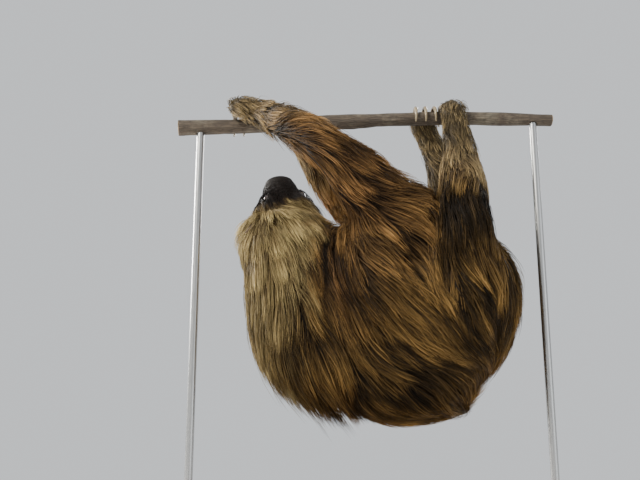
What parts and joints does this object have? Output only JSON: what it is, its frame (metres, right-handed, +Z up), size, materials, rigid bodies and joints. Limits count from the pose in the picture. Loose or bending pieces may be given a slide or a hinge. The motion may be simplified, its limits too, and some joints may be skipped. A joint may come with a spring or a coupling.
{
  "type": "two-toed sloth",
  "caption": "Life-size still model of a two-toed sloth hanging by its claws from a cut length of branch, muzzle raised, long coat hanging down, on a plain display stand.",
  "frame": {"origin": "middle of the underside of the stand's base", "axes": "+Z up, +X from the head towards the rump along the branch, -Y the side the animal's right flank faces"},
  "size_m": [0.52, 0.34, 0.5453],
  "materials": {
    "head_coat": "pale cream hair, dull",
    "nape_coat": "long pale straw hair, dull",
    "body_coat": "long brown hair with golden tips, dull",
    "arm_coat": "long reddish brown hair, dull",
    "leg_coat": "grey-tan hair, dull",
    "paw_coat": "short grey-brown hair, dull",
    "face_skin": "short dark hair over dark skin, dull",
    "snout_skin": "bare dark skin, slightly moist",
    "ear_skin": "thin skin with sparse hair, dull",
    "eyeball": "wet, dark brown",
    "claw_horn": "horn, slightly polished",
    "bark": "rough grey-brown bark",
    "stand_wood": "dark stained, satin",
    "stand_steel": "brushed"
  },
  "bodies": {
    "root": {"head": "head_coat", "face": "face_skin", "snout": "snout_skin", "eye_right": "eyeball", "ear_right": "ear_skin", "eye_left": "eyeball", "ear_left": "ear_skin", "neck": "nape_coat", "chest": "body_coat", "loin": "body_coat", "rump": "body_coat", "right_upper_arm": "arm_coat", "right_forearm": "arm_coat", "right_hand": "paw_coat", "right_hand_claw_1": "claw_horn", "right_hand_claw_2": "claw_horn", "right_thigh": "body_coat", "right_shank": "leg_coat", "right_foot": "paw_coat", "right_foot_claw_1": "claw_horn", "right_foot_claw_2": "claw_horn", "right_foot_claw_3": "claw_horn", "left_upper_arm": "arm_coat", "left_forearm": "arm_coat", "left_hand": "paw_coat", "left_hand_claw_1": "claw_horn", "left_hand_claw_2": "claw_horn", "left_thigh": "body_coat", "left_shank": "leg_coat", "left_foot": "paw_coat", "left_foot_claw_1": "claw_horn", "left_foot_claw_2": "claw_horn", "left_foot_claw_3": "claw_horn", "perch": "bark", "stand_base": "stand_wood", "stand_rod_left": "stand_steel", "stand_rod_right": "stand_steel"}
  },
  "joints": []
}
